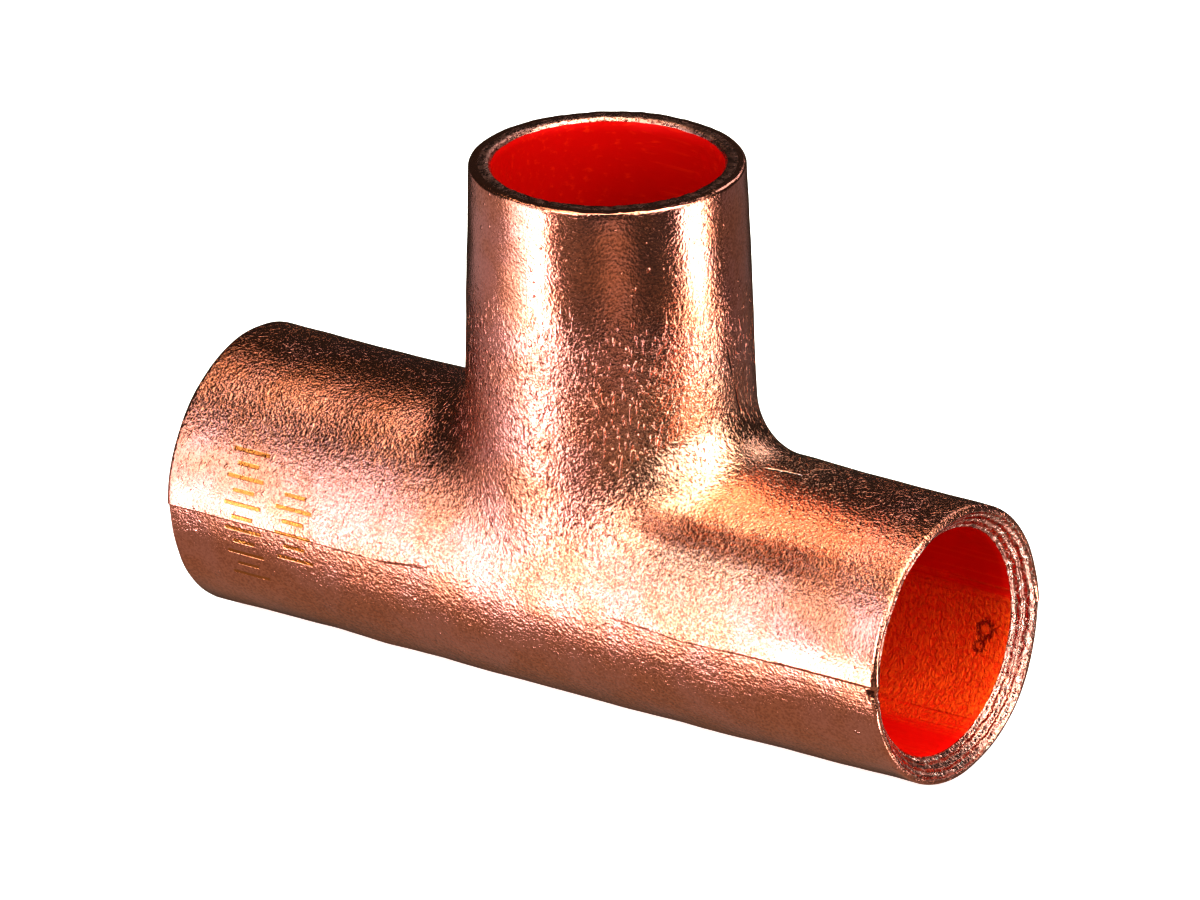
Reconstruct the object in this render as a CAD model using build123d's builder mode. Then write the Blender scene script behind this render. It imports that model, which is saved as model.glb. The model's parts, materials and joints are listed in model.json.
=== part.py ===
"""Equal tee fitting for soldered copper tube, formed in one piece from a length of tube.

The run lies along X and the branch stands up along +Z.  The origin is on the surface that the
run rests on, below the middle of the run's axis.  All sizes are in millimetres.
"""

from build123d import *

import os

# Tube that the fitting joins: 1/4 inch nominal water tube, 3/8 inch outside.
TUBE_RADIUS = 9.525 / 2
CAPILLARY_GAP = 0.0575  # radial gap that the solder fills

# Sockets: the three sized ends that a tube slides into.
SOCKET_RADIUS = TUBE_RADIUS + CAPILLARY_GAP
SOCKET_DEPTH = 8.0
STOP_LENGTH = 0.5  # cone at the bottom of a socket, which stops the tube

# Outside of the run: sized ends, and a slightly fuller middle.
RUN_HALF_LENGTH = 18.0
RUN_END_RADIUS = 5.90
RUN_MIDDLE_RADIUS = 5.97
RUN_MIDDLE_HALF_LENGTH = 9.6
SIZING_STEP_LENGTH = 1.6  # cone between the middle and a sized end

# Outside of the branch: round at its end, and wider along the run at its root, where the
# copper flowed into it.
BRANCH_OFFSET = 0.60  # the branch stands this far to the right of the run's middle
BRANCH_HEIGHT = 17.5  # from the run's axis to the end face
BRANCH_END_RADIUS = 5.72
BRANCH_ROOT_HALF_WIDTH = 6.40  # along the run
BRANCH_ROOT_HALF_DEPTH = 5.88  # across the run

# Waterway between the sockets.
RUN_WATERWAY_RADIUS = 4.55
BRANCH_WATERWAY_RADIUS = 4.50
WATERWAY_ROOT_HALF_WIDTH = 5.10
WATERWAY_ROOT_HALF_DEPTH = 4.50

# Edges.
CROTCH_RADIUS = 2.1  # outside blend between run and branch
INNER_CROTCH_RADIUS = 1.6
RUN_MOUTH_BEVEL_WIDTH = 0.76
RUN_MOUTH_BEVEL_DEPTH = 0.75
RUN_RIM_ROUNDING = 0.22
BRANCH_MOUTH_BEVEL_WIDTH = 0.16
BRANCH_MOUTH_BEVEL_DEPTH = 0.20
BRANCH_RIM_ROUNDING = 0.18

AXIS_HEIGHT = RUN_MIDDLE_RADIUS
END_OVERRUN = 1.0  # how far the hollow core runs past each end face

# Half sections are drawn on these upright planes.  On the run's, local X is the distance along
# the run and local Y the radius; on the branch's, local X is the radius and local Y the height.
RUN_SECTION = Plane(origin=(0, 0, AXIS_HEIGHT), x_dir=(1, 0, 0), z_dir=(0, -1, 0))
BRANCH_SECTION = Plane(origin=(BRANCH_OFFSET, 0, AXIS_HEIGHT), x_dir=(1, 0, 0), z_dir=(0, -1, 0))
RUN_AXIS = Axis((0, 0, AXIS_HEIGHT), (1, 0, 0))
BRANCH_AXIS = Axis((BRANCH_OFFSET, 0, AXIS_HEIGHT), (0, 0, 1))


def across_branch(height):
    """The level plane across the branch, at a height above the run's axis."""
    return Plane(origin=(BRANCH_OFFSET, 0, AXIS_HEIGHT + height))


def mirrored(right_half):
    """The run's whole outline, from the points of its right half."""
    left_half = [(-x, radius) for x, radius in reversed(right_half)]
    return left_half + right_half


def run_skin_outline():
    """Half section of the run's outside: sized ends and a fuller middle, all edges sharp."""
    return mirrored([
        (RUN_MIDDLE_HALF_LENGTH, RUN_MIDDLE_RADIUS),
        (RUN_MIDDLE_HALF_LENGTH + SIZING_STEP_LENGTH, RUN_END_RADIUS),
        (RUN_HALF_LENGTH, RUN_END_RADIUS),
        (RUN_HALF_LENGTH, 0),
    ])


def run_core_outline():
    """Half section of the run's hollow: two sockets, their stops and bevelled mouths."""
    socket_bottom = RUN_HALF_LENGTH - SOCKET_DEPTH
    mouth_radius = SOCKET_RADIUS + RUN_MOUTH_BEVEL_WIDTH
    past_face = RUN_HALF_LENGTH + END_OVERRUN
    return mirrored([
        (socket_bottom - STOP_LENGTH, RUN_WATERWAY_RADIUS),
        (socket_bottom, SOCKET_RADIUS),
        (RUN_HALF_LENGTH - RUN_MOUTH_BEVEL_DEPTH, SOCKET_RADIUS),
        (RUN_HALF_LENGTH, mouth_radius),
        (past_face, mouth_radius),
        (past_face, 0),
    ])


def branch_socket_outline():
    """Half section of the branch's socket, from its tube stop up through its bevelled mouth."""
    socket_bottom = BRANCH_HEIGHT - SOCKET_DEPTH
    mouth_radius = SOCKET_RADIUS + BRANCH_MOUTH_BEVEL_WIDTH
    past_face = BRANCH_HEIGHT + END_OVERRUN
    return [
        (0, socket_bottom - STOP_LENGTH),
        (BRANCH_WATERWAY_RADIUS, socket_bottom - STOP_LENGTH),
        (SOCKET_RADIUS, socket_bottom),
        (SOCKET_RADIUS, BRANCH_HEIGHT - BRANCH_MOUTH_BEVEL_DEPTH),
        (mouth_radius, BRANCH_HEIGHT),
        (mouth_radius, past_face),
        (0, past_face),
    ]


def crossing_edge(part):
    """The one closed edge where the run and the branch meet."""
    return part.edges().filter_by(GeomType.BSPLINE).sort_by(SortBy.LENGTH)[-1]


# The hollow inside the fitting, as a solid to cut with.
with BuildPart() as hollow_core:
    with BuildSketch(RUN_SECTION):
        with BuildLine():
            Polyline(*run_core_outline(), close=True)
        make_face()
    revolve(axis=RUN_AXIS)
    with BuildSketch(across_branch(0)):
        Ellipse(WATERWAY_ROOT_HALF_WIDTH, WATERWAY_ROOT_HALF_DEPTH)
    with BuildSketch(across_branch(BRANCH_HEIGHT - SOCKET_DEPTH - STOP_LENGTH)):
        Circle(BRANCH_WATERWAY_RADIUS)
    loft()
    fillet(crossing_edge(hollow_core), radius=INNER_CROTCH_RADIUS)
    with BuildSketch(BRANCH_SECTION):
        with BuildLine():
            Polyline(*branch_socket_outline(), close=True)
        make_face()
    revolve(axis=BRANCH_AXIS)

# The fitting itself: one seamless wall of copper.
with BuildPart() as tee_body:
    with BuildSketch(RUN_SECTION):
        with BuildLine():
            Polyline(*run_skin_outline(), close=True)
        make_face()
    revolve(axis=RUN_AXIS)
    with BuildSketch(across_branch(0)):
        Ellipse(BRANCH_ROOT_HALF_WIDTH, BRANCH_ROOT_HALF_DEPTH)
    with BuildSketch(across_branch(BRANCH_HEIGHT)):
        Circle(BRANCH_END_RADIUS)
    loft()
    fillet(crossing_edge(tee_body), radius=CROTCH_RADIUS)
    rims_along_run = tee_body.edges().filter_by(GeomType.CIRCLE).group_by(Axis.X)
    fillet(rims_along_run[0] + rims_along_run[-1], radius=RUN_RIM_ROUNDING)
    branch_rim = tee_body.edges().group_by(Axis.Z)[-1]
    fillet(branch_rim, radius=BRANCH_RIM_ROUNDING)
    add(hollow_core.part, mode=Mode.SUBTRACT)

tee_body.part.label = "tee_body"

os.makedirs("parts", exist_ok=True)
export_step(tee_body.part, "parts/tee_body.step")
print("tee_body volume", round(tee_body.part.volume, 2), "mm3")
print("tee_body size", tee_body.part.bounding_box().size)
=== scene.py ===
"""Copper tee fitting: the visual model, its copper, its studio and its camera.

The run lies along X and the branch stands along +Z.  Shapes are worked out in millimetres and
become metres when a mesh is made.  Angles round the run's axis are 0 at the front (-Y) and 90
at the top; angles round the branch's axis are 0 at the front and 90 towards +X.
"""

import json
import math

import bpy
import numpy as np
from mathutils import Matrix, Vector


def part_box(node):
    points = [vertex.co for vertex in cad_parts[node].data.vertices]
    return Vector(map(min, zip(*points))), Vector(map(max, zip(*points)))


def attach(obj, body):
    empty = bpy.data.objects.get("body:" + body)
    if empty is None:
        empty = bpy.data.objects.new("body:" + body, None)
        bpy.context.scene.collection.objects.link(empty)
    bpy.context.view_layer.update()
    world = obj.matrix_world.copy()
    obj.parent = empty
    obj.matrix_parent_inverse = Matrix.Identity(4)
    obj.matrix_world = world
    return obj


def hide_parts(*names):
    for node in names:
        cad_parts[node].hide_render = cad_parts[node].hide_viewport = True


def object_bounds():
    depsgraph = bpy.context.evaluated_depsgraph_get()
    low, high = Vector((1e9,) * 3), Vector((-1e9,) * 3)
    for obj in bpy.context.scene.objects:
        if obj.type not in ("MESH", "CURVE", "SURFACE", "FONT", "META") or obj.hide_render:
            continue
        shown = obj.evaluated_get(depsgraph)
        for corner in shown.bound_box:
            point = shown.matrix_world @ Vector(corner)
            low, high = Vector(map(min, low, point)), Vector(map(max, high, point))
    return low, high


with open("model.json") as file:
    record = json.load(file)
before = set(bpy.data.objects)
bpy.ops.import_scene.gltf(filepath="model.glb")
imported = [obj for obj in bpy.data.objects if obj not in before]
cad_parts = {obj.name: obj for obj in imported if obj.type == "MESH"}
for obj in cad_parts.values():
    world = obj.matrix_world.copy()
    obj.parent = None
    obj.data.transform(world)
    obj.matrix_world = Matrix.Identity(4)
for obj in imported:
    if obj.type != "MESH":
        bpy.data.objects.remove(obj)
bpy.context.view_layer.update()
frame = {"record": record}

MM = 0.001

# ---------------------------------------------------------------------------------------------
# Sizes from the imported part, in millimetres
# ---------------------------------------------------------------------------------------------

mounts = {mount["name"]: mount for mount in frame["record"]["mounts"]}
part_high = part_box("tee_body")[1]

AXIS_HEIGHT = mounts["run_socket_right"]["pos_m"][2] / MM
BRANCH_X = mounts["branch_socket"]["pos_m"][0] / MM
SOCKET_RADIUS = mounts["branch_socket"]["dims"]["r_mm"]
RUN_HALF_LENGTH = part_high.x / MM
RUN_MIDDLE_RADIUS = part_high.y / MM
BRANCH_HEIGHT = part_high.z / MM - AXIS_HEIGHT

# ---------------------------------------------------------------------------------------------
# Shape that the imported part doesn't state, in millimetres
# ---------------------------------------------------------------------------------------------

RUN_END_RADIUS = 5.90
RUN_FULL_HALF_LENGTH = 8.6  # the run is fuller than its ends out to here
RUN_SIZED_FROM = 11.8  # and has its sized radius from here
BRANCH_END_RADIUS = 5.72
BRANCH_ROOT_HALF_WIDTH = 6.42  # along the run
BRANCH_ROOT_HALF_DEPTH = 5.88  # across the run
CROTCH_RADIUS = 2.2
FLANK_SOFTENING = 5.0  # the blends grow by this much at the front and the back

RUN_WATERWAY_RADIUS = 4.55
BRANCH_WATERWAY_RADIUS = 4.50
WATERWAY_ROOT_HALF_WIDTH = 5.10
WATERWAY_ROOT_HALF_DEPTH = 4.50
INNER_CROTCH_RADIUS = 1.6
SOCKET_DEPTH = 8.0
STOP_LENGTH = 0.5

# ---------------------------------------------------------------------------------------------
# Mesh density
# ---------------------------------------------------------------------------------------------

EVEN_COLUMNS = 168
# Extra columns round the parting lines, in degrees.
PARTING_COLUMNS = (-1.5, -1.0, -0.6, -0.3, 0.3, 0.6, 1.0, 1.5, 2.6, 3.3, 4.2)
OUTER_RINGS = 64
INNER_RINGS = 34
HALVINGS = 36  # steps in the search for a surface
SAME_POINT = 0.0005  # millimetres: points that round to one place on this grid are one point
TINY = 1e-6  # keeps divisions away from zero

SEED = 20


def smooth_step(value, low, high):
    """0 below low, 1 above high, and a smooth rise between them."""
    t = np.clip((value - low) / (high - low), 0.0, 1.0)
    return t * t * (3.0 - 2.0 * t)


def wavy(points, wavelength, seed, waves=14):
    """Smooth random height, about -1 to 1, at each point, from plane waves of one length."""
    random = np.random.default_rng(SEED + seed)
    directions = random.normal(size=(waves, 3))
    directions /= np.linalg.norm(directions, axis=1, keepdims=True)
    lengths = wavelength * random.uniform(0.7, 1.4, waves)
    phases = random.uniform(0.0, 2.0 * math.pi, waves)
    turns = 2.0 * math.pi * (points @ directions.T) / lengths + phases
    return np.sin(turns).sum(axis=-1) * math.sqrt(2.0 / waves)


# ---------------------------------------------------------------------------------------------
# The two skins, as distances from a surface: below 0 inside it, above 0 outside it
# ---------------------------------------------------------------------------------------------


def run_skin_radius(x):
    """Outside radius of the run at a place along it."""
    fuller = 1.0 - smooth_step(np.abs(x), RUN_FULL_HALF_LENGTH, RUN_SIZED_FROM)
    return RUN_END_RADIUS + (RUN_MIDDLE_RADIUS - RUN_END_RADIUS) * fuller


def run_core_radius(x):
    """Radius of the run's hollow: waterway, tube stops and sockets."""
    bottom = RUN_HALF_LENGTH - SOCKET_DEPTH
    widened = np.clip((np.abs(x) - (bottom - STOP_LENGTH)) / STOP_LENGTH, 0.0, 1.0)
    return RUN_WATERWAY_RADIUS + (SOCKET_RADIUS - RUN_WATERWAY_RADIUS) * widened


def branch_skin_radii(z):
    """Half width and half depth of the branch's outside at a height above the run's axis."""
    up = np.clip(z / BRANCH_HEIGHT, 0.0, 1.0)
    half_width = BRANCH_ROOT_HALF_WIDTH + (BRANCH_END_RADIUS - BRANCH_ROOT_HALF_WIDTH) * up
    half_depth = BRANCH_ROOT_HALF_DEPTH + (BRANCH_END_RADIUS - BRANCH_ROOT_HALF_DEPTH) * up
    return half_width, half_depth


def branch_core_radii(z):
    """Half width and half depth of the branch's hollow, with its tube stop and socket."""
    bottom = BRANCH_HEIGHT - SOCKET_DEPTH
    up = np.clip(z / (bottom - STOP_LENGTH), 0.0, 1.0)
    widened = np.clip((z - (bottom - STOP_LENGTH)) / STOP_LENGTH, 0.0, 1.0)
    half_width = WATERWAY_ROOT_HALF_WIDTH + (BRANCH_WATERWAY_RADIUS - WATERWAY_ROOT_HALF_WIDTH) * up
    half_depth = WATERWAY_ROOT_HALF_DEPTH + (BRANCH_WATERWAY_RADIUS - WATERWAY_ROOT_HALF_DEPTH) * up
    half_width = half_width + (SOCKET_RADIUS - half_width) * widened
    half_depth = half_depth + (SOCKET_RADIUS - half_depth) * widened
    return half_width, half_depth


def blended_distance(points, run_radius, branch_radii, blend_radius):
    """Distance outside the run and branch joined, with a round blend in the corner between them."""
    x, y, z = points[..., 0], points[..., 1], points[..., 2]
    blend_radius = blend_radius + FLANK_SOFTENING * np.minimum(np.abs(y) / RUN_END_RADIUS, 1.0)**4
    from_run_axis = np.maximum(np.hypot(y, z), TINY)
    run = from_run_axis - run_radius(x)

    half_width, half_depth = branch_radii(z)
    across = x - BRANCH_X
    ratio = np.maximum(np.hypot(across / half_width, y / half_depth), TINY)
    slope_x = across / half_width**2 / ratio
    slope_y = y / half_depth**2 / ratio
    slope = np.maximum(np.hypot(slope_x, slope_y), TINY)
    branch = (ratio - 1.0) / slope
    # The branch begins at the run's axis, so every place below that is outside it.
    branch = np.where(z < 0.0, np.hypot(np.maximum(branch, 0.0), z) + 0.5, branch)

    # A ball of the blend's radius touches both surfaces; the corner is filled up to the ball.
    alignment = np.clip(y / from_run_axis * slope_y / slope, -1.0, 0.9999)
    run_gap = run - blend_radius
    branch_gap = branch - blend_radius
    spread = 1.0 - alignment**2
    along_run = (run_gap - alignment * branch_gap) / spread
    along_branch = (branch_gap - alignment * run_gap) / spread
    squared = (run_gap**2 + branch_gap**2 - 2.0 * alignment * run_gap * branch_gap) / spread
    ball = blend_radius - np.sqrt(np.maximum(squared, 0.0))
    in_corner = (along_run < 0.0) & (along_branch < 0.0)
    return np.where(in_corner, ball, np.minimum(run, branch))


def skin_distance(points):
    """Distance outside the fitting's outer skin."""
    return blended_distance(points, run_skin_radius, branch_skin_radii, CROTCH_RADIUS)


def core_distance(points):
    """Distance outside the hollow, so below 0 in the bores and above 0 in the copper."""
    return blended_distance(points, run_core_radius, branch_core_radii, INNER_CROTCH_RADIUS)


def reach(distance, start, direction, nearest=2.5, farthest=13.0):
    """How far along each direction from start the surface is, found by halving."""
    low = np.full(start.shape[:-1], nearest)
    high = np.full(start.shape[:-1], farthest)
    for _ in range(HALVINGS):
        middle = (low + high) / 2.0
        inside = distance(start + direction * middle[..., None]) < 0.0
        low = np.where(inside, middle, low)
        high = np.where(inside, high, middle)
    return (low + high) / 2.0


# ---------------------------------------------------------------------------------------------
# The mesh: three arms of rings that meet on the planes halfway between their axes
# ---------------------------------------------------------------------------------------------

RUN_RIM_ROUNDING = 0.22
RUN_BEVEL_WIDTH = 0.76
RUN_BEVEL_DEPTH = 0.75
BRANCH_RIM_ROUNDING = 0.16
BRANCH_BEVEL_WIDTH = 0.12
BRANCH_BEVEL_DEPTH = 0.15
RUN_BEVEL_RINGS = 13
BRANCH_BEVEL_RINGS = 3
ROUNDING_RINGS = 6
FACE_STEPS = 3

CHATTER_RIDGES = 2.6  # ridges that the cutter left across the run's rims
CHATTER_HEIGHT = 0.075
CHATTER_DRIFT = 0.16  # share of a ridge's width by which they wander
RIM_WOBBLE = 0.035
CHIP_DEPTH = 0.15  # chip in the right rim, where the parting line reaches it
CHIP_MIDDLE = -3.0  # degrees round the run
CHIP_HALF_WIDTH = 5.0


def columns():
    """Angles round the run in degrees, upper half with both ends and lower half without."""
    even = np.linspace(0.0, 180.0, EVEN_COLUMNS // 2 + 1)
    extra = [a for a in PARTING_COLUMNS if a > 0.0]
    upper = np.unique(np.concatenate([even, extra, [180.0 - a for a in extra]]).round(6))
    extra = [-a for a in PARTING_COLUMNS if a < 0.0]
    lower = np.unique(np.concatenate([even[1:-1], extra, [180.0 - a for a in extra]]).round(6))
    return np.radians(upper), np.radians(-lower[::-1])


UPPER, LOWER = columns()
RUN_ANGLES = np.concatenate([UPPER, LOWER])
BRANCH_ANGLES = np.concatenate([UPPER, -UPPER[-2:0:-1]])


def rim_profile(outer_radius, rounding, bevel_width, bevel_depth, bevel_rings):
    """Distance in from the end face, and radius, from the outer skin round to the bore."""
    turn = np.linspace(0.0, math.pi / 2.0, ROUNDING_RINGS)
    inset = list(rounding * (1.0 - np.sin(turn)))
    radius = list(outer_radius - rounding * (1.0 - np.cos(turn)))
    face_edge = radius[-1]
    mouth = SOCKET_RADIUS + bevel_width
    across = np.linspace(0.0, 1.0, bevel_rings + 1)
    for step in np.linspace(0.0, 1.0, FACE_STEPS + 1)[1:-1]:
        inset.append(0.0)
        radius.append(face_edge + (mouth - face_edge) * step)
    inset += list(bevel_depth * across)
    radius += list(mouth - bevel_width * across)
    return np.array(inset), np.array(radius)


def around(angles, seed, wavelength):
    """Smooth random height round a rim."""
    circle = np.stack([np.cos(angles), np.sin(angles), np.zeros_like(angles)], -1)
    return wavy(circle * SOCKET_RADIUS, wavelength, seed)


def bell(angles, middle, half_width):
    """1 at an angle in degrees, fading to 0 at half_width either side of it."""
    away = np.degrees(np.abs(np.angle(np.exp(1j * (angles - math.radians(middle))))))
    return 1.0 - smooth_step(away, 0.0, half_width)


def run_rim(angles, side):
    """Insets and radii of the run's rough-cut rim, one row per ring and one column per angle."""
    inset, radius = rim_profile(RUN_END_RADIUS, RUN_RIM_ROUNDING, RUN_BEVEL_WIDTH,
                                RUN_BEVEL_DEPTH, RUN_BEVEL_RINGS)
    inset = np.repeat(inset[:, None], len(angles), 1)
    radius = np.repeat(radius[:, None], len(angles), 1)
    across = np.clip((RUN_END_RADIUS - radius) / (RUN_END_RADIUS - SOCKET_RADIUS), 0.0, 1.0)

    # The cutter's ridges, uneven in strength, with torn grain over them.
    drift = CHATTER_DRIFT * around(angles, 3 + side, 9.0)
    strength = 0.45 + 0.4 * np.abs(around(angles, 7 + side, 4.0))
    ridges = np.sin(2.0 * math.pi * (CHATTER_RIDGES * across + drift)) * strength
    envelope = smooth_step(across, 0.10, 0.3) * (1.0 - smooth_step(across, 0.88, 1.0))
    rough = 0.35 * around(angles, 11 + side, 0.9) + 0.25 * around(angles, 12 + side, 0.5)
    depth = CHATTER_HEIGHT * envelope * (ridges + rough)

    # An uneven face, and the chip.
    wobble = RIM_WOBBLE * smooth_step(across, 0.02, 0.2) * (1.0 - smooth_step(across, 0.7, 1.0))
    inset = inset + 0.75 * depth + wobble * (0.6 + 0.5 * around(angles, 15 + side, 2.5))
    chip = bell(angles, CHIP_MIDDLE, CHIP_HALF_WIDTH) * (1.0 - smooth_step(across, 0.15, 0.6))
    inset = inset + CHIP_DEPTH * chip * (side > 0)
    radius = radius - 0.5 * depth
    return np.maximum(inset, 0.0), radius


def branch_rim(angles):
    """Insets and radii of the branch's cleaner rim, which has only a fine burr."""
    inset, radius = rim_profile(BRANCH_END_RADIUS, BRANCH_RIM_ROUNDING, BRANCH_BEVEL_WIDTH,
                                BRANCH_BEVEL_DEPTH, BRANCH_BEVEL_RINGS)
    inset = np.repeat(inset[:, None], len(angles), 1)
    radius = np.repeat(radius[:, None], len(angles), 1)
    burr = 0.014 * around(angles, 21, 0.8) + 0.012 * around(angles, 22, 3.0)
    return inset + np.abs(burr) * (radius < BRANCH_END_RADIUS - 0.05), radius


def arm(distance, place, first_along, last_along, rings):
    """Rings of an arm's skin between its inner border and a place near its end."""
    fractions = np.linspace(0.0, 1.0, rings + 1)[:, None]
    along = first_along + (last_along - first_along) * fractions
    start = place(along, np.zeros_like(along))
    direction = place(along, np.ones_like(along)) - start
    radius = reach(distance, start, direction)
    return place(along, radius)


def run_place(side, angles):
    """For an arm of the run: the place at a distance along the arm and a radius from its axis."""
    def place(along, radius):
        x = BRANCH_X + side * along
        return np.stack(np.broadcast_arrays(x, -radius * np.cos(angles),
                                            radius * np.sin(angles)), -1)
    return place


def branch_place(angles):
    """The same for the branch's arm, whose distances start at the run's axis."""
    def place(along, radius):
        return np.stack(np.broadcast_arrays(BRANCH_X + radius * np.sin(angles),
                                            -radius * np.cos(angles), along), -1)
    return place


def borders(distance):
    """Distance along each arm at which it begins, so that neighbouring arms share their edge."""
    # Run and branch meet on the two planes halfway between their axes; below them, the run's
    # two arms meet on the plane across the run.
    found = {}
    for side in (1, -1):
        start = np.tile([BRANCH_X, 0.0, 0.0], (len(UPPER), 1))
        sine = np.sin(UPPER)
        direction = np.stack([side * sine, -np.cos(UPPER), sine], -1)
        shared = reach(distance, start, direction, farthest=11.0) * sine
        shared[[0, -1]] = 0.0
        found[side] = shared
    run = {side: np.concatenate([found[side], np.zeros(len(LOWER))]) for side in (1, -1)}
    branch = np.concatenate([found[1], found[-1][-2:0:-1]])
    return run, branch


def tee_strips():
    """Each arm as rings of its outside, its rim and its bore, and which way its faces wind."""
    outer_run, outer_branch = borders(skin_distance)
    inner_run, inner_branch = borders(core_distance)
    strips = []
    rounded = ROUNDING_RINGS - 1
    for side in (1, -1):
        place = run_place(side, RUN_ANGLES)
        face = RUN_HALF_LENGTH - side * BRANCH_X
        inset, radius = run_rim(RUN_ANGLES, side)
        outer = arm(skin_distance, place, outer_run[side], face - RUN_RIM_ROUNDING, OUTER_RINGS)
        rim = place(face - inset[1:], radius[1:])
        inner = arm(core_distance, place, inner_run[side], face - inset[-1], INNER_RINGS)
        outer = np.concatenate([outer, rim[:rounded]])
        strips.append((outer, rim[rounded:-1], inner[::-1], side))
    place = branch_place(BRANCH_ANGLES)
    inset, radius = branch_rim(BRANCH_ANGLES)
    outer = arm(skin_distance, place, outer_branch, BRANCH_HEIGHT - BRANCH_RIM_ROUNDING,
                OUTER_RINGS)
    rim = place(BRANCH_HEIGHT - inset[1:], radius[1:])
    inner = arm(core_distance, place, inner_branch, BRANCH_HEIGHT - inset[-1], INNER_RINGS)
    outer = np.concatenate([outer, rim[:rounded]])
    strips.append((outer, rim[rounded:-1], inner[::-1], -1))
    return strips


def joined(strips):
    """Points, faces and the points' kinds for all strips, with shared points counted once.

    A point's kind is its copper: 0 formed, 1 cut, 2 bore.
    """
    points, faces, kinds, base = [], [], [], 0
    for outer, rim, inner, winding in strips:
        sheet = np.concatenate([outer, rim, inner])
        kind = np.repeat([0, 1, 2], [len(outer), len(rim), len(inner)])
        rows, count = sheet.shape[:2]
        index = base + np.arange(rows * count).reshape(rows, count)
        ahead = np.roll(index, -1, axis=1)
        quads = np.stack([index[:-1], ahead[:-1], ahead[1:], index[1:]], -1).reshape(-1, 4)
        faces.append(quads[:, ::-1] if winding > 0 else quads)
        points.append(sheet.reshape(-1, 3))
        kinds.append(np.repeat(kind, count))
        base += rows * count
    points, faces, kinds = np.concatenate(points), np.concatenate(faces), np.concatenate(kinds)
    _, first, shared = np.unique((points / SAME_POINT).round(), axis=0,
                                 return_index=True, return_inverse=True)
    return points[first], shared.reshape(-1)[faces], kinds[first]


# ---------------------------------------------------------------------------------------------
# Relief on the skins: the die's parting lines, slight waviness, a rough band in the sockets
# ---------------------------------------------------------------------------------------------

PARTING_RISE = 0.045  # millimetres
PARTING_STEP = 0.020
PARTING_DROP = 0.130
BACK_LINE_SHARE = 0.7  # the line at the back is this much of the front one
FADE_LENGTH = 1.2  # a bore's relief begins to fade at this distance from its mouth


def parting_height(degrees, reach_of_line):
    """A die's parting line: a proud upper edge, a small step, then a dip that fades below."""
    arc = np.abs(np.radians(degrees)) * RUN_END_RADIUS
    above = PARTING_RISE * np.exp(-arc / 1.2)
    below = -PARTING_STEP * np.exp(-arc / 0.5)
    below -= PARTING_DROP * (1.0 - np.exp(-arc / 1.2)) * np.exp(-arc / 3.2)
    return reach_of_line * np.where(degrees > 0.0, above, below)


def front_line_angle(x):
    """Where the front parting line runs, in degrees above the front."""
    return np.interp(x, (-18.0, -6.9, -4.0, 4.3, 5.0, 8.1, 14.4, 18.0),
                     (0.0, 0.0, 3.6, 3.6, 2.0, 0.2, 1.2, 1.2))


def outer_relief(points):
    """Height of the outer skin above its plain shape, in millimetres."""
    x, y, z = points.T
    degrees = np.degrees(np.arctan2(z, -y))
    on_run = 1.0 - smooth_step(z, 2.0, 4.0)
    front = smooth_step(np.abs(x - 0.3), 4.0, 6.0) * on_run
    height = parting_height(degrees - front_line_angle(x), front)
    back_degrees = np.degrees(np.arctan2(z, y))
    height += BACK_LINE_SHARE * parting_height(back_degrees, on_run)
    height += 0.011 * wavy(points, 5.0, 31) + 0.0045 * wavy(points, 1.8, 32)
    return height


def inner_relief(points):
    """Height of the bore's wall above its plain shape, towards the axis, in millimetres."""
    x, y, z = points.T
    degrees = np.degrees(np.arctan2(z, -y))
    # A rough band low at the back of the run's sockets.
    low_back = smooth_step(-degrees, 117.0, 124.0)
    rough = low_back * smooth_step(np.abs(x), 9.5, 10.5)
    height = rough * (0.010 * wavy(points, 0.9, 41) + 0.016 * wavy(points, 2.5, 42))
    return height + 0.004 * wavy(points, 3.0, 43)


def make_tee():
    """The whole fitting as one closed mesh."""
    points, faces, kinds = joined(tee_strips())
    mesh = bpy.data.meshes.new("copper_tee")
    mesh.from_pydata(points.tolist(), [], faces.tolist())
    normals = np.zeros(len(points) * 3)
    mesh.vertex_normals.foreach_get("vector", normals)
    normals = normals.reshape(-1, 3)
    height = np.where(kinds == 0, outer_relief(points), 0.0)
    height = np.where(kinds == 2, inner_relief(points), height)
    # The bores' relief fades out before it reaches the mouths.
    ends = np.maximum(np.abs(points[:, 0]) - (RUN_HALF_LENGTH - FADE_LENGTH),
                      points[:, 2] - (BRANCH_HEIGHT - FADE_LENGTH))
    height *= 1.0 - smooth_step(ends, 0.0, 1.0) * (kinds == 2)
    points = points + normals * height[:, None] + [0.0, 0.0, AXIS_HEIGHT]
    mesh.vertices.foreach_set("co", (points * MM).ravel())
    # A face between rings of two kinds takes the first of them: outer, then rim, then inner.
    slots = np.sort(kinds[faces], axis=1)[:, 1]
    mesh.polygons.foreach_set("material_index", slots.astype(np.int32))
    mesh.polygons.foreach_set("use_smooth", np.ones(len(faces), dtype=bool))
    mesh.update()
    tee = bpy.data.objects.new("copper_tee", mesh)
    bpy.context.scene.collection.objects.link(tee)
    return tee


# ---------------------------------------------------------------------------------------------
# Copper
# ---------------------------------------------------------------------------------------------


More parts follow.
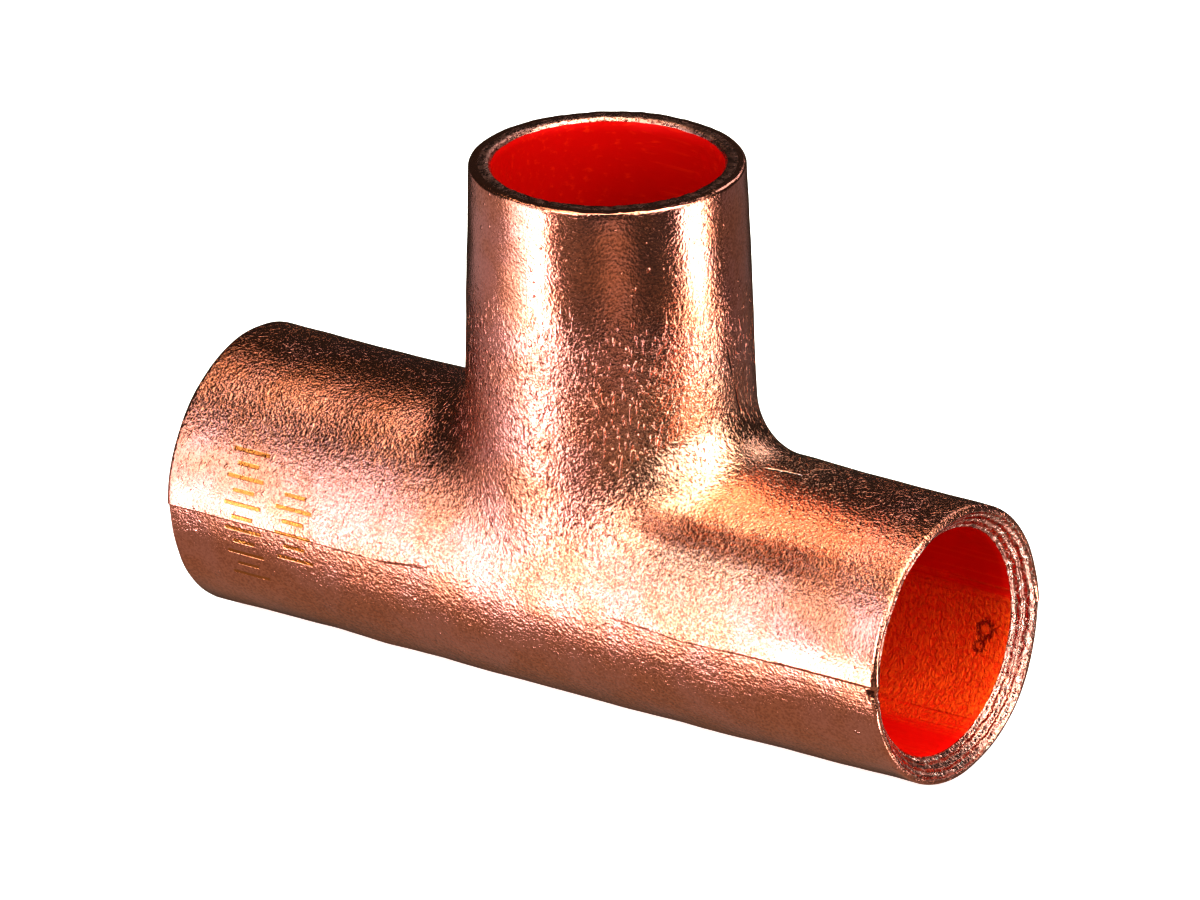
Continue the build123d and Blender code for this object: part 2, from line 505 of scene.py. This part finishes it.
class Graph:
    """A material's node graph, with short calls for the nodes used here."""

    def __init__(self, name):
        self.material = bpy.data.materials.new(name)
        self.material.use_nodes = True
        self.nodes = self.material.node_tree.nodes
        self.links = self.material.node_tree.links
        self.shader = self.nodes["Principled BSDF"]
        coordinates = self.nodes.new("ShaderNodeTexCoord")
        # Positions in millimetres, with the run's axis at height 0.
        self.place = self.vector("MULTIPLY_ADD", coordinates.outputs["Object"],
                                 (1.0 / MM,) * 3, (0.0, 0.0, -AXIS_HEIGHT))

    def feed(self, socket, value):
        """Links a node's output to a socket, or sets the socket to a plain value."""
        if isinstance(value, bpy.types.NodeSocket):
            self.links.new(value, socket)
        else:
            socket.default_value = value

    def math(self, operation, *values, clamp=False):
        """Result of an operation on numbers."""
        node = self.nodes.new("ShaderNodeMath")
        node.operation = operation
        node.use_clamp = clamp
        for socket, value in zip(node.inputs, values):
            self.feed(socket, value)
        return node.outputs[0]

    def vector(self, operation, *values):
        """Result of an operation on vectors, which for some operations is a number."""
        node = self.nodes.new("ShaderNodeVectorMath")
        node.operation = operation
        for socket, value in zip(node.inputs, values):
            self.feed(socket, value)
        scalar = operation in ("DOT_PRODUCT", "LENGTH", "DISTANCE")
        return node.outputs["Value" if scalar else "Vector"]

    def ramp(self, value, low, high, low_to=0.0, high_to=1.0):
        """value from low..high becomes low_to..high_to, smoothly and no further."""
        node = self.nodes.new("ShaderNodeMapRange")
        node.interpolation_type = "SMOOTHSTEP"
        for name, number in (("Value", value), ("From Min", low), ("From Max", high),
                             ("To Min", low_to), ("To Max", high_to)):
            self.feed(node.inputs[name], number)
        return node.outputs["Result"]

    def mix(self, factor, first, second):
        """The first colour where factor is 0 and the second where it is 1."""
        node = self.nodes.new("ShaderNodeMix")
        node.data_type = "RGBA"
        self.feed(node.inputs["Factor"], factor)
        self.feed(node.inputs["A"], first)
        self.feed(node.inputs["B"], second)
        return node.outputs["Result"]

    def noise(self, place, size, detail=2.0, roughness=0.5, distortion=0.0):
        """Smooth random value, 0 to 1, with features of a size in the place's own units."""
        node = self.nodes.new("ShaderNodeTexNoise")
        self.feed(node.inputs["Vector"], place)
        self.feed(node.inputs["Scale"], 1.0 / size)
        self.feed(node.inputs["Detail"], detail)
        self.feed(node.inputs["Roughness"], roughness)
        self.feed(node.inputs["Distortion"], distortion)
        return node.outputs["Fac"]

    def lumps(self, place, size):
        """Smooth round lumps of a size in the place's own units."""
        node = self.nodes.new("ShaderNodeTexVoronoi")
        node.feature = "SMOOTH_F1"
        self.feed(node.inputs["Vector"], place)
        self.feed(node.inputs["Scale"], 1.0 / size)
        return node.outputs["Distance"]

    def stretched(self, factors):
        """Positions scaled along each axis: a small factor draws a pattern out that way."""
        return self.vector("MULTIPLY", self.place, factors)

    def bump(self, height):
        """Relief from a height in millimetres."""
        node = self.nodes.new("ShaderNodeBump")
        node.inputs["Distance"].default_value = MM
        self.feed(node.inputs["Height"], height)
        return node.outputs["Normal"]

    def split(self, vector):
        """The three parts of a vector."""
        node = self.nodes.new("ShaderNodeSeparateXYZ")
        self.feed(node.inputs[0], vector)
        return node.outputs

    def product(self, *values):
        """All the values multiplied together."""
        total = values[0]
        for value in values[1:]:
            total = self.math("MULTIPLY", total, value)
        return total

    def sum(self, *values):
        """All the values added together."""
        total = values[0]
        for value in values[1:]:
            total = self.math("ADD", total, value)
        return total

    def scratch(self, start, end, width):
        """1 on a line between two places, thinning out to 0 at both its ends."""
        start, end = Vector(start), Vector(end)
        along = end - start
        from_start = self.vector("SUBTRACT", self.place, start)
        share = self.math("DIVIDE", self.vector("DOT_PRODUCT", from_start, along),
                          along.length_squared, clamp=True)
        nearest = self.vector("MULTIPLY", share, along)
        away = self.vector("DISTANCE", from_start, nearest)
        taper = self.math("SQRT", self.product(share, self.math("SUBTRACT", 1.0, share), 4.0))
        reach_out = self.math("MULTIPLY_ADD", taper, width, 0.001)
        return self.ramp(self.math("DIVIDE", away, reach_out), 1.0, 0.4)


def on_run(x, degrees):
    """A place on the run's skin, from a distance along it and an angle round it."""
    turn = math.radians(degrees)
    return x, -RUN_END_RADIUS * math.cos(turn), RUN_END_RADIUS * math.sin(turn)


def on_branch(z, degrees):
    """A place on the branch's skin, from a height above the run's axis and an angle round it."""
    turn = math.radians(degrees)
    half_width, half_depth = branch_skin_radii(z)
    return BRANCH_X + half_width * math.sin(turn), -half_depth * math.cos(turn), z


# Scratches: both ends and the width in millimetres.
# The bright scratches are real wear; their near-white colour in the copper is a painted glint.
BRIGHT_SCRATCHES = (
    (on_run(7.5, 34.6), on_run(9.2, 39.8), 0.10),
    (on_run(8.4, 84.0), on_run(10.5, 87.0), 0.12),
    (on_run(7.3, 37.0), on_run(8.3, 39.0), 0.06),
)
DARK_SCRATCHES = (
    (on_branch(8.9, 93.0), on_branch(7.0, 97.0), 0.10),
    (on_branch(10.6, 89.0), on_branch(9.2, 92.0), 0.07),
    (on_run(5.2, 2.0), on_run(7.6, 0.4), 0.08),
    (on_run(-8.6, -0.4), on_run(-6.6, 0.8), 0.08),
    (on_run(18.2, -4.0), on_run(17.5, -0.5), 0.24),
)
PAINTED_REFLECTION_MIDDLE = (8.6, -2.4, 5.8)  # middle of a painted reflection beside the branch: paler copper where the run mirrors the branch
STREAK_ARC = 4.4  # millimetres of girth from the front to a streak along the run: coarser grain, and painted shade where the copper mirrors a dark gap between lamps
FLAW_RINGS = (  # a small flaw in the right socket: two rings side by side, place and radius
    ((16.10, 4.62, -1.35), 0.34),
    ((15.95, 4.38, -2.00), 0.20),
)

# Rows of etched bars: the row's place along the run, then its first and last bar's place
# round the run, as millimetres of girth from the front.
ETCHED_ROWS = ((-14.1, -2.6, 3.1), (-11.5, -1.1, 1.75))
BAR_PITCH = 0.57
BAR_HALF_LENGTH = 0.92
BAR_SHORTENING = 0.38  # every other bar's half length is less by this much

COARSE_GRAIN = 0.24  # millimetres
FINE_GRAIN = 0.12
RIM_RIDGE_PITCH = 0.27


def etched_bars(g, x, arc, middle, first, last):
    """A row of plain bars round the run: every other one short.  arc is millimetres of girth."""
    step = g.math("DIVIDE", g.math("SUBTRACT", arc, first), BAR_PITCH)
    from_bar = g.math("PINGPONG", step, 0.5)
    stroke = g.ramp(g.math("MULTIPLY", from_bar, BAR_PITCH), 0.11, 0.06)
    odd = g.math("MODULO", g.math("ROUND", step), 2.0)
    half_length = g.math("MULTIPLY_ADD", odd, -BAR_SHORTENING, BAR_HALF_LENGTH)
    beyond = g.math("SUBTRACT", g.math("ABSOLUTE", g.math("SUBTRACT", x, middle)), half_length)
    after_first = g.ramp(arc, first - 0.25, first - 0.15)
    before_last = g.ramp(arc, last + 0.25, last + 0.15)
    return g.product(stroke, g.ramp(beyond, 0.05, -0.05), after_first, before_last)


def grown_noise(g, size):
    """Grain of a size in millimetres: creases and round lumps together, about 0 to 1."""
    lumps = g.lumps(g.place, size)
    creases = g.noise(g.place, size * 0.8, 2.0, 0.65, 0.5)
    return g.math("MULTIPLY_ADD", lumps, 0.55, g.math("MULTIPLY", creases, 0.6))


def formed_copper():
    """Die-formed copper: coarse where the tube was stretched, drawn smooth near its ends."""
    g = Graph("formed_copper")
    x, y, z = g.split(g.place)
    turn = g.math("ARCTAN2", z, g.math("MULTIPLY", y, -1.0))
    arc = g.math("MULTIPLY", turn, RUN_END_RADIUS)

    patches = g.noise(g.place, 3.0, 3.0, 0.6)
    sized_run = g.product(g.ramp(g.math("ABSOLUTE", x), 9.0, 15.0), g.ramp(z, 3.6, 2.0))
    sized = g.math("MAXIMUM", sized_run, g.ramp(z, 9.0, 15.0))

    coarse = grown_noise(g, COARSE_GRAIN)
    fine = grown_noise(g, FINE_GRAIN)
    lines = g.noise(g.stretched((0.12, 5.0, 5.0)), 1.0, 3.0, 0.7)
    low_lines = g.product(g.ramp(x, 5.0, 9.0), g.ramp(arc, 0.2, -0.6))
    from_streak = g.math("ABSOLUTE", g.math("SUBTRACT", arc, STREAK_ARC))
    ragged = g.math("MULTIPLY_ADD", g.noise(g.place, 0.6, 2.0, 0.6), 0.8, from_streak)
    streak = g.product(g.ramp(ragged, 1.4, 0.7), g.ramp(x, 3.0, 6.5), g.ramp(x, 17.0, 12.0),
                       g.ramp(y, 0.0, -1.0))
    flecks = g.ramp(g.noise(g.stretched((3.2, 3.2, 0.9)), 0.5, 1.0), 0.60, 0.70)
    drawn_up = g.product(g.ramp(z, 1.0, 4.0), g.ramp(z, 14.0, 9.0))
    pits = g.ramp(g.noise(g.place, 0.35, 1.0), 0.70, 0.80)
    bright_scratch = g.sum(*[g.scratch(*line) for line in BRIGHT_SCRATCHES])
    dark_scratch = g.sum(*[g.scratch(*line) for line in DARK_SCRATCHES])
    bars = g.math("MAXIMUM", *[etched_bars(g, x, arc, *row) for row in ETCHED_ROWS])

    # Heights in millimetres: the grain is coarser where the tube was stretched.
    coarse_height = g.ramp(sized, 0.0, 1.0, 0.036, 0.010)
    height = g.sum(
        g.product(coarse, g.math("MULTIPLY_ADD", streak, 0.03, coarse_height)),
        g.product(fine, g.ramp(sized, 0.0, 1.0, 0.034, 0.016)),
        g.product(lines, g.math("MULTIPLY_ADD", low_lines, 0.016, 0.002)),
        g.product(flecks, drawn_up, 0.045),
        g.product(pits, 0.02),
        g.product(bright_scratch, -0.05),
        g.product(dark_scratch, -0.09),
        g.product(bars, -0.012),
    )

    warm = (0.84, 0.37, 0.24, 1.0)
    pink = (0.88, 0.42, 0.34, 1.0)
    brown = (0.46, 0.17, 0.10, 1.0)
    amber = (0.62, 0.24, 0.045, 1.0)
    paler_copper = (0.95, 0.58, 0.42, 1.0)
    pale = (0.97, 0.86, 0.80, 1.0)
    painted_shade_band = (0.33, 0.13, 0.09, 1.0)
    gouge = (0.14, 0.045, 0.03, 1.0)
    colour = g.mix(g.ramp(patches, 0.35, 0.65), pink, warm)
    # Painted reflection: paler copper beside the branch stands in for the branch mirrored in the
    # run's top.
    painted_crotch_reflection = g.ramp(g.vector("DISTANCE", g.place, PAINTED_REFLECTION_MIDDLE), 7.0, 2.5)
    colour = g.mix(g.math("MULTIPLY", painted_crotch_reflection, 0.75), colour, paler_copper)
    # Painted shade: the streak is darkened to stand in for the dark gap between the lamps'
    # reflections; its coarser grain is real relief.
    colour = g.mix(g.math("MULTIPLY", streak, 0.85), colour, painted_shade_band)
    creases = g.product(g.ramp(fine, 0.62, 0.40), g.ramp(patches, 0.3, 0.6, 0.15, 0.5))
    colour = g.mix(creases, colour, brown)
    colour = g.mix(g.math("MULTIPLY", bars, 0.85), colour, amber)
    # Painted glint: the bright scratches are real wear, but their near-white colour stands in for
    # light catching them.
    colour = g.mix(g.math("MULTIPLY", bright_scratch, 0.9), colour, pale)
    colour = g.mix(g.math("MULTIPLY", dark_scratch, 0.8), colour, gouge)
    g.feed(g.shader.inputs["Base Color"], colour)
    g.feed(g.shader.inputs["Roughness"], g.ramp(patches, 0.3, 0.7, 0.15, 0.23))
    g.shader.inputs["Metallic"].default_value = 1.0
    g.feed(g.shader.inputs["Normal"], g.bump(height))
    return g.material


def cut_copper():
    """The rims: sawn and reamed copper, with ridges and burrs round the run's mouths, the burrs
    given a painted glint.
    """
    g = Graph("cut_copper")
    x, y, z = g.split(g.place)
    grain = g.noise(g.place, 0.10, 2.0, 0.6, 0.5)
    tears = g.noise(g.place, 0.45, 2.0, 0.6)
    from_axis = g.math("SQRT", g.math("ADD", g.product(y, y), g.product(z, z)))
    wander = g.math("MULTIPLY_ADD", tears, 0.16, from_axis)
    ridges = g.math("SINE", g.math("MULTIPLY", wander, 2.0 * math.pi / RIM_RIDGE_PITCH))
    at_mouth = g.ramp(g.math("ABSOLUTE", x), RUN_HALF_LENGTH - 1.2, RUN_HALF_LENGTH - 0.9)
    burrs = g.product(g.ramp(g.noise(g.place, 0.26, 1.0, 0.5, 1.0), 0.60, 0.66), at_mouth)
    height = g.sum(g.product(grain, 0.028), g.product(tears, 0.04),
                   g.product(ridges, at_mouth, 0.046), g.product(burrs, 0.06))

    paler_copper = (0.74, 0.41, 0.34, 1.0)
    dull = (0.30, 0.09, 0.07, 1.0)
    painted_burr_glint = (0.97, 0.84, 0.76, 1.0)
    colour = g.mix(g.ramp(grain, 0.50, 0.34), paler_copper, dull)
    # Painted glint: the burrs are real relief, but their near-white colour stands in for light
    # catching them.
    g.feed(g.shader.inputs["Base Color"], g.mix(burrs, colour, painted_burr_glint))
    g.feed(g.shader.inputs["Roughness"], g.ramp(tears, 0.3, 0.7, 0.18, 0.34))
    g.shader.inputs["Metallic"].default_value = 1.0
    g.feed(g.shader.inputs["Normal"], g.bump(height))
    return g.material


def bore_copper():
    """The inside: a smooth wall whose deep red is painted interreflection, and a lumpy band low at
    the back, brighter with painted light.
    """
    g = Graph("bore_copper")
    _, y, z = g.split(g.place)
    from_back = g.math("MULTIPLY", g.math("ARCTAN2", z, y), math.degrees(1.0))
    drift = g.noise(g.stretched((0.08, 3.0, 3.0)), 1.0, 3.0, 0.6)
    edge = g.math("MULTIPLY_ADD", drift, 36.0, from_back)
    band = g.product(g.ramp(edge, 30.0, 10.0), g.ramp(edge, -62.0, -38.0))
    rings = [g.math("SUBTRACT", g.vector("DISTANCE", g.place, place), radius)
             for place, radius in FLAW_RINGS]
    from_flaw = g.math("MINIMUM", *[g.math("ABSOLUTE", ring) for ring in rings])

    lumps = g.noise(g.stretched((1.4, 1.0, 1.0)), 0.24, 2.0, 0.6, 0.8)
    streaks = g.noise(g.stretched((0.10, 4.0, 4.0)), 1.0, 2.0, 0.6)
    flaw = g.ramp(g.math("MULTIPLY_ADD", lumps, 0.45, from_flaw), 0.38, 0.20)
    height = g.sum(g.product(lumps, g.ramp(band, 0.0, 1.0, 0.004, 0.17)),
                   g.product(streaks, 0.012), g.product(flaw, -0.10))

    # Painted interreflection: the deep reds stand in for light bouncing many times round the copper
    # bore. The red is darker up the branch.
    deep = (0.80, 0.007, 0.003, 1.0)
    branch_deep = (0.60, 0.004, 0.002, 1.0)
    bright = (1.0, 0.16, 0.014, 1.0)
    hollow = (0.92, 0.080, 0.008, 1.0)
    dark = (0.42, 0.014, 0.003, 1.0)
    # Painted light: the lumpy band is real relief, but its brighter colour stands in for lamp light
    # falling on it through the mouth.
    lit = g.mix(g.ramp(lumps, 0.58, 0.40), bright, hollow)
    painted_bounce_red = g.mix(g.ramp(z, 4.0, 9.0), deep, branch_deep)
    streaked = g.mix(g.product(g.ramp(streaks, 0.55, 0.75), 0.25), painted_bounce_red, hollow)
    g.feed(g.shader.inputs["Base Color"], g.mix(flaw, g.mix(band, streaked, lit), dark))
    g.feed(g.shader.inputs["Roughness"], g.ramp(lumps, 0.3, 0.7, 0.32, 0.45))
    g.shader.inputs["Metallic"].default_value = 0.1
    g.shader.inputs["Specular IOR Level"].default_value = 0.1
    g.feed(g.shader.inputs["Normal"], g.bump(height))
    return g.material


# ---------------------------------------------------------------------------------------------
# Studio
# ---------------------------------------------------------------------------------------------

CAMERA_AZIMUTH = 36.08  # degrees from the front towards +X
CAMERA_ELEVATION = 22.54
CAMERA_ROLL = -0.81
CAMERA_DISTANCE = 1.061  # metres
CAMERA_LENS = 770.5  # millimetres, on a sensor 36 mm wide
AIM_ABOVE_AXES = 4.195  # millimetres

LIGHT_DISTANCE = 0.40  # metres
BENCH_SIDE = (0.0, -0.2, -0.98)  # direction in which the bench looks brightest
BENCH_FADE = (0.28, 0.85)  # cosines of the angles from that where its glow starts and is full
BENCH_RADIANCE = 0.45
ROOM_RADIANCE = 0.060
ROOM_COLOUR = (1.0, 0.85, 0.68, 1.0)

FLOOR_HALF_SIZE = 3.0  # metres
FLOOR_GLOW = 0.75  # keeps the backdrop pale all over
VIEW_GAMMA = 0.72

# Softboxes with dark gaps between them, so that the copper shows long bright bands: name,
# azimuth, elevation, width and height in degrees as the fitting sees them, radiance, colour.
SOFTBOXES = (
    ("front_left", -41.0, 5.5, 24.0, 61.0, 2.3, (0.80, 0.88, 1.0)),
    ("left_edge", -84.0, -20.0, 52.0, 34.0, 0.34, (1.0, 0.92, 0.96)),
    ("back_edge", 165.0, -22.0, 50.0, 30.0, 0.17, (1.0, 0.88, 0.88)),
    ("front_strip", -24.0, -18.0, 11.0, 26.0, 7.5, (0.92, 0.92, 1.0)),
    ("front_high", 0.0, 15.0, 28.0, 28.0, 5.0, (1.0, 1.0, 1.0)),
    ("front_low", 39.0, -22.0, 20.0, 20.0, 0.45, (1.0, 0.82, 0.70)),
    ("back_right", 111.0, -20.0, 17.0, 36.0, 5.5, (1.0, 1.0, 1.0)),
    ("back_high", 180.0, 36.0, 34.0, 20.0, 1.6, (1.0, 1.0, 1.0)),
    ("high_right", 95.0, 45.0, 34.0, 30.0, 2.6, (1.0, 0.94, 0.88)),
    ("high_left", -86.0, 61.0, 28.0, 11.0, 2.8, (1.0, 0.90, 0.72)),
    ("right_fill", 85.0, 22.0, 56.0, 38.0, 2.8, (0.92, 1.0, 0.96)),
    ("overhead", 35.0, 67.0, 62.0, 40.0, 3.1, (0.95, 0.96, 0.80)),
)


def toward(azimuth, elevation):
    """Unit vector at an azimuth from the front towards +X and an elevation, in degrees."""
    a, e = math.radians(azimuth), math.radians(elevation)
    return Vector((math.sin(a) * math.cos(e), -math.cos(a) * math.cos(e), math.sin(e)))


def make_camera():
    """A camera placed like the photo's, as the fitting's outlines in it show."""
    crossing = Vector((0.0, 0.0, AXIS_HEIGHT * MM))
    back = toward(CAMERA_AZIMUTH, CAMERA_ELEVATION)
    up = back.cross(toward(CAMERA_AZIMUTH + 90.0, 0.0))
    place = crossing + back * CAMERA_DISTANCE
    aim = crossing + up * AIM_ABOVE_AXES * MM
    camera = bpy.data.objects.new("camera", bpy.data.cameras.new("camera"))
    bpy.context.scene.collection.objects.link(camera)
    camera.rotation_mode = "QUATERNION"
    turned = (place - aim).to_track_quat("Z", "Y")
    roll = Matrix.Rotation(math.radians(CAMERA_ROLL), 4, "Z").to_quaternion()
    camera.rotation_quaternion = turned @ roll
    camera.location = place
    camera.data.sensor_width = 36.0
    camera.data.lens = CAMERA_LENS
    camera.data.clip_start = 0.01
    camera.data.clip_end = 20.0
    bpy.context.scene.camera = camera


def make_softbox(name, azimuth, elevation, width, height, radiance, colour):
    """An area light that faces the fitting, from one row of the table above."""
    light = bpy.data.lights.new(name, "AREA")
    light.shape = "RECTANGLE"
    light.size = 2.0 * LIGHT_DISTANCE * math.tan(math.radians(width) / 2.0)
    light.size_y = 2.0 * LIGHT_DISTANCE * math.tan(math.radians(height) / 2.0)
    # The face of such a lamp has a radiance of its energy over four times its area.
    light.energy = 4.0 * radiance * light.size * light.size_y
    light.color = colour
    lamp = bpy.data.objects.new(name, light)
    bpy.context.scene.collection.objects.link(lamp)
    direction = toward(azimuth, elevation)
    lamp.location = direction * LIGHT_DISTANCE + Vector((0.0, 0.0, 1.5 * AXIS_HEIGHT * MM))
    lamp.rotation_mode = "QUATERNION"
    lamp.rotation_quaternion = direction.to_track_quat("Z", "Y")


def make_world():
    """A dark room with a pale bench: what the copper sees between the softboxes."""
    world = bpy.data.worlds.new("studio")
    bpy.context.scene.world = world
    world.use_nodes = True
    tree = world.node_tree
    coordinates = tree.nodes.new("ShaderNodeTexCoord")
    toward_bench = tree.nodes.new("ShaderNodeVectorMath")
    toward_bench.operation = "DOT_PRODUCT"
    toward_bench.inputs[1].default_value = BENCH_SIDE
    tree.links.new(coordinates.outputs["Generated"], toward_bench.inputs[0])
    fade = tree.nodes.new("ShaderNodeMapRange")
    fade.interpolation_type = "SMOOTHSTEP"
    fade.inputs["From Min"].default_value = BENCH_FADE[0]
    fade.inputs["From Max"].default_value = BENCH_FADE[1]
    fade.inputs["To Min"].default_value = ROOM_RADIANCE
    fade.inputs["To Max"].default_value = BENCH_RADIANCE
    tree.links.new(toward_bench.outputs["Value"], fade.inputs["Value"])
    background = tree.nodes["Background"]
    background.inputs["Color"].default_value = ROOM_COLOUR
    tree.links.new(fade.outputs["Result"], background.inputs["Strength"])


def make_floor():
    """A pale backdrop at the fitting's lowest point, which the copper doesn't mirror."""
    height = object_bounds()[0].z
    mesh = bpy.data.meshes.new("floor")
    corners = [(FLOOR_HALF_SIZE * x, FLOOR_HALF_SIZE * y, height)
               for x, y in ((-1, -1), (1, -1), (1, 1), (-1, 1))]
    mesh.from_pydata(corners, [], [(0, 1, 2, 3)])
    floor = bpy.data.objects.new("floor", mesh)
    bpy.context.scene.collection.objects.link(floor)
    material = bpy.data.materials.new("pale_floor")
    material.use_nodes = True
    shader = material.node_tree.nodes["Principled BSDF"]
    shader.inputs["Base Color"].default_value = (0.9, 0.9, 0.9, 1.0)
    shader.inputs["Roughness"].default_value = 0.9
    shader.inputs["Specular IOR Level"].default_value = 0.0
    shader.inputs["Emission Color"].default_value = (1.0, 1.0, 1.0, 1.0)
    shader.inputs["Emission Strength"].default_value = FLOOR_GLOW
    mesh.materials.append(material)
    floor.visible_glossy = False
    floor.visible_diffuse = False
    floor.visible_shadow = False


make_camera()
tee = make_tee()
for copper in (formed_copper(), cut_copper(), bore_copper()):
    tee.data.materials.append(copper)
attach(tee, "root")
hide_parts("tee_body")
for softbox in SOFTBOXES:
    make_softbox(*softbox)
make_world()
make_floor()

view_settings = bpy.context.scene.view_settings
view_settings.view_transform = "Standard"
view_settings.look = "None"
view_settings.gamma = VIEW_GAMMA
